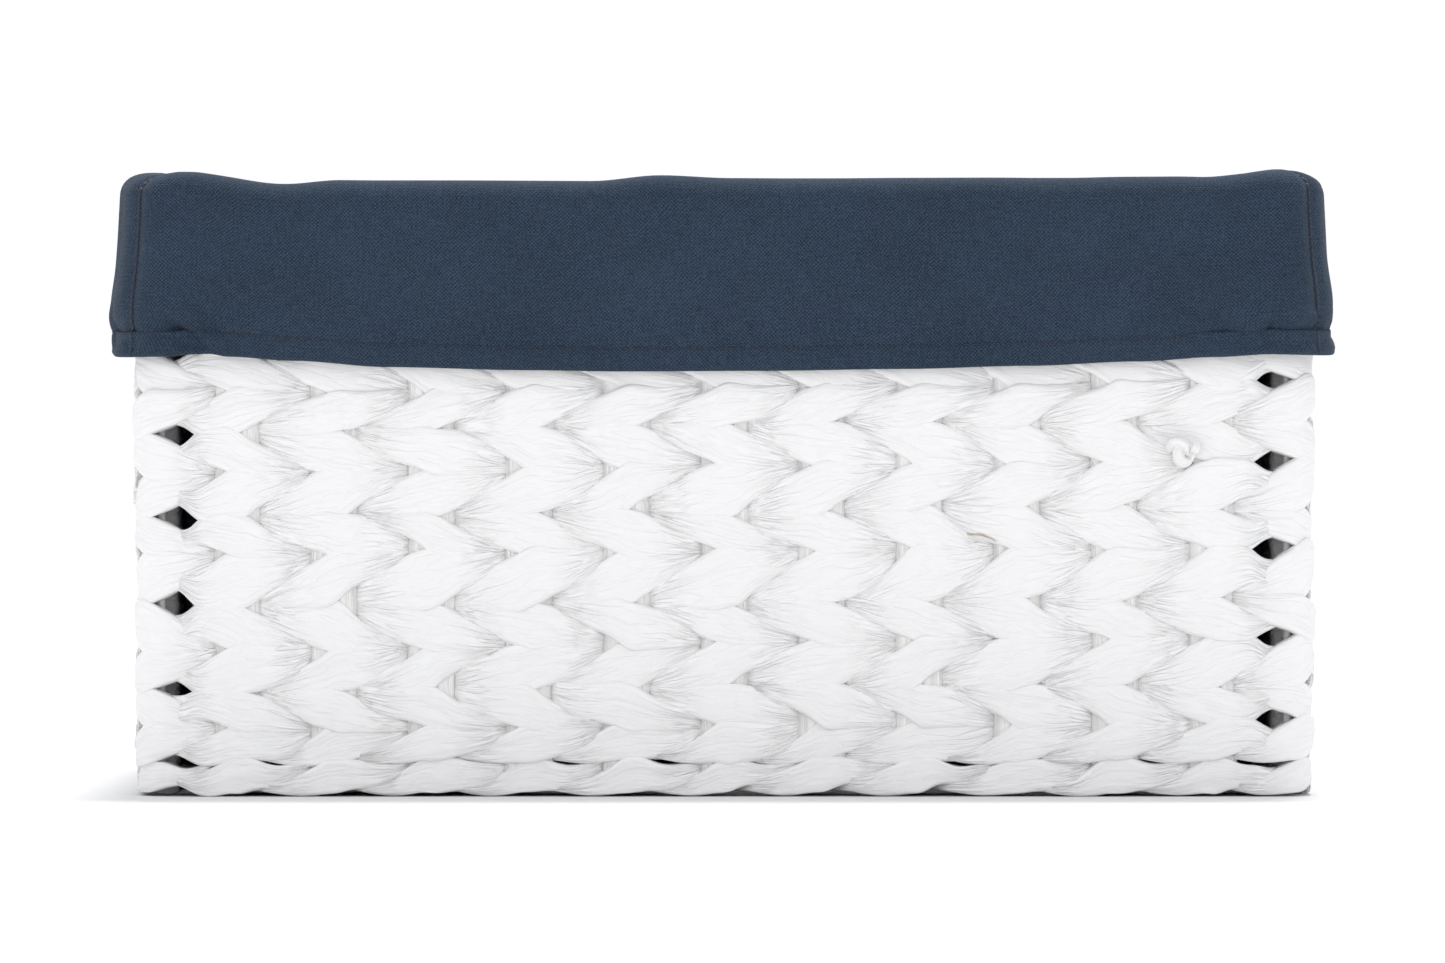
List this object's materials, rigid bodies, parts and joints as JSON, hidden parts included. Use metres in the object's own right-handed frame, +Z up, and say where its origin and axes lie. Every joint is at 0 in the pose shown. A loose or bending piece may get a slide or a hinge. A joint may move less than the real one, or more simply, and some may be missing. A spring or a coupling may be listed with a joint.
{
  "type": "storage basket",
  "caption": "Low rectangular basket of twined white paper rope on a wire frame, with a lift-out navy fabric liner folded over the rim as a cuff.",
  "frame": {"origin": "centre of the footprint on the floor", "axes": "+Z up, +X along the long front wall, -Y is the front"},
  "size_m": [0.3874, 0.2936, 0.1972],
  "materials": {
    "paper_rope": "twisted crepe paper rope, matt white, lengthwise creases",
    "paper_stake": "flat band of paper cords laid side by side, matt white",
    "frame_wire": "white paint on steel wire",
    "liner_fabric": "plain weave, linen look, slate navy"
  },
  "bodies": {
    "basket": {"back_wall_stakes": "paper_stake", "base_border_rope_a": "paper_rope", "base_border_rope_b": "paper_rope", "base_ring_wire": "frame_wire", "base_stakes": "paper_stake", "base_weave_ropes": "paper_rope", "corner_post_back_left": "frame_wire", "corner_post_back_right": "frame_wire", "corner_post_front_left": "frame_wire", "corner_post_front_right": "frame_wire", "front_wall_stakes": "paper_stake", "left_wall_stakes": "paper_stake", "right_wall_stakes": "paper_stake", "rim_border_rope_a": "paper_rope", "rim_border_rope_b": "paper_rope", "rim_ring_wire": "frame_wire", "wall_row_01_rope_a": "paper_rope", "wall_row_01_rope_b": "paper_rope", "wall_row_02_rope_a": "paper_rope", "wall_row_02_rope_b": "paper_rope", "wall_row_03_rope_a": "paper_rope", "wall_row_03_rope_b": "paper_rope", "wall_row_04_rope_a": "paper_rope", "wall_row_04_rope_b": "paper_rope", "wall_row_05_rope_a": "paper_rope", "wall_row_05_rope_b": "paper_rope", "wall_row_06_rope_a": "paper_rope", "wall_row_06_rope_b": "paper_rope", "wall_row_07_rope_a": "paper_rope", "wall_row_07_rope_b": "paper_rope", "wall_row_08_rope_a": "paper_rope", "wall_row_08_rope_b": "paper_rope", "wall_row_09_rope_a": "paper_rope", "wall_row_09_rope_b": "paper_rope", "wall_row_10_rope_a": "paper_rope", "wall_row_10_rope_b": "paper_rope", "wall_row_11_rope_a": "paper_rope", "wall_row_11_rope_b": "paper_rope", "wall_row_12_rope_a": "paper_rope", "wall_row_12_rope_b": "paper_rope", "wall_row_13_rope_a": "paper_rope", "wall_row_13_rope_b": "paper_rope"},
    "liner": {"liner_back_panel": "liner_fabric", "liner_bottom_panel": "liner_fabric", "liner_front_panel": "liner_fabric", "liner_left_panel": "liner_fabric", "liner_right_panel": "liner_fabric"}
  },
  "joints": [
    {"name": "liner_lift", "type": "slide", "parent": "basket", "child": "liner", "axis": [0, 0, 1], "range_m": [0, 0.2]}
  ]
}
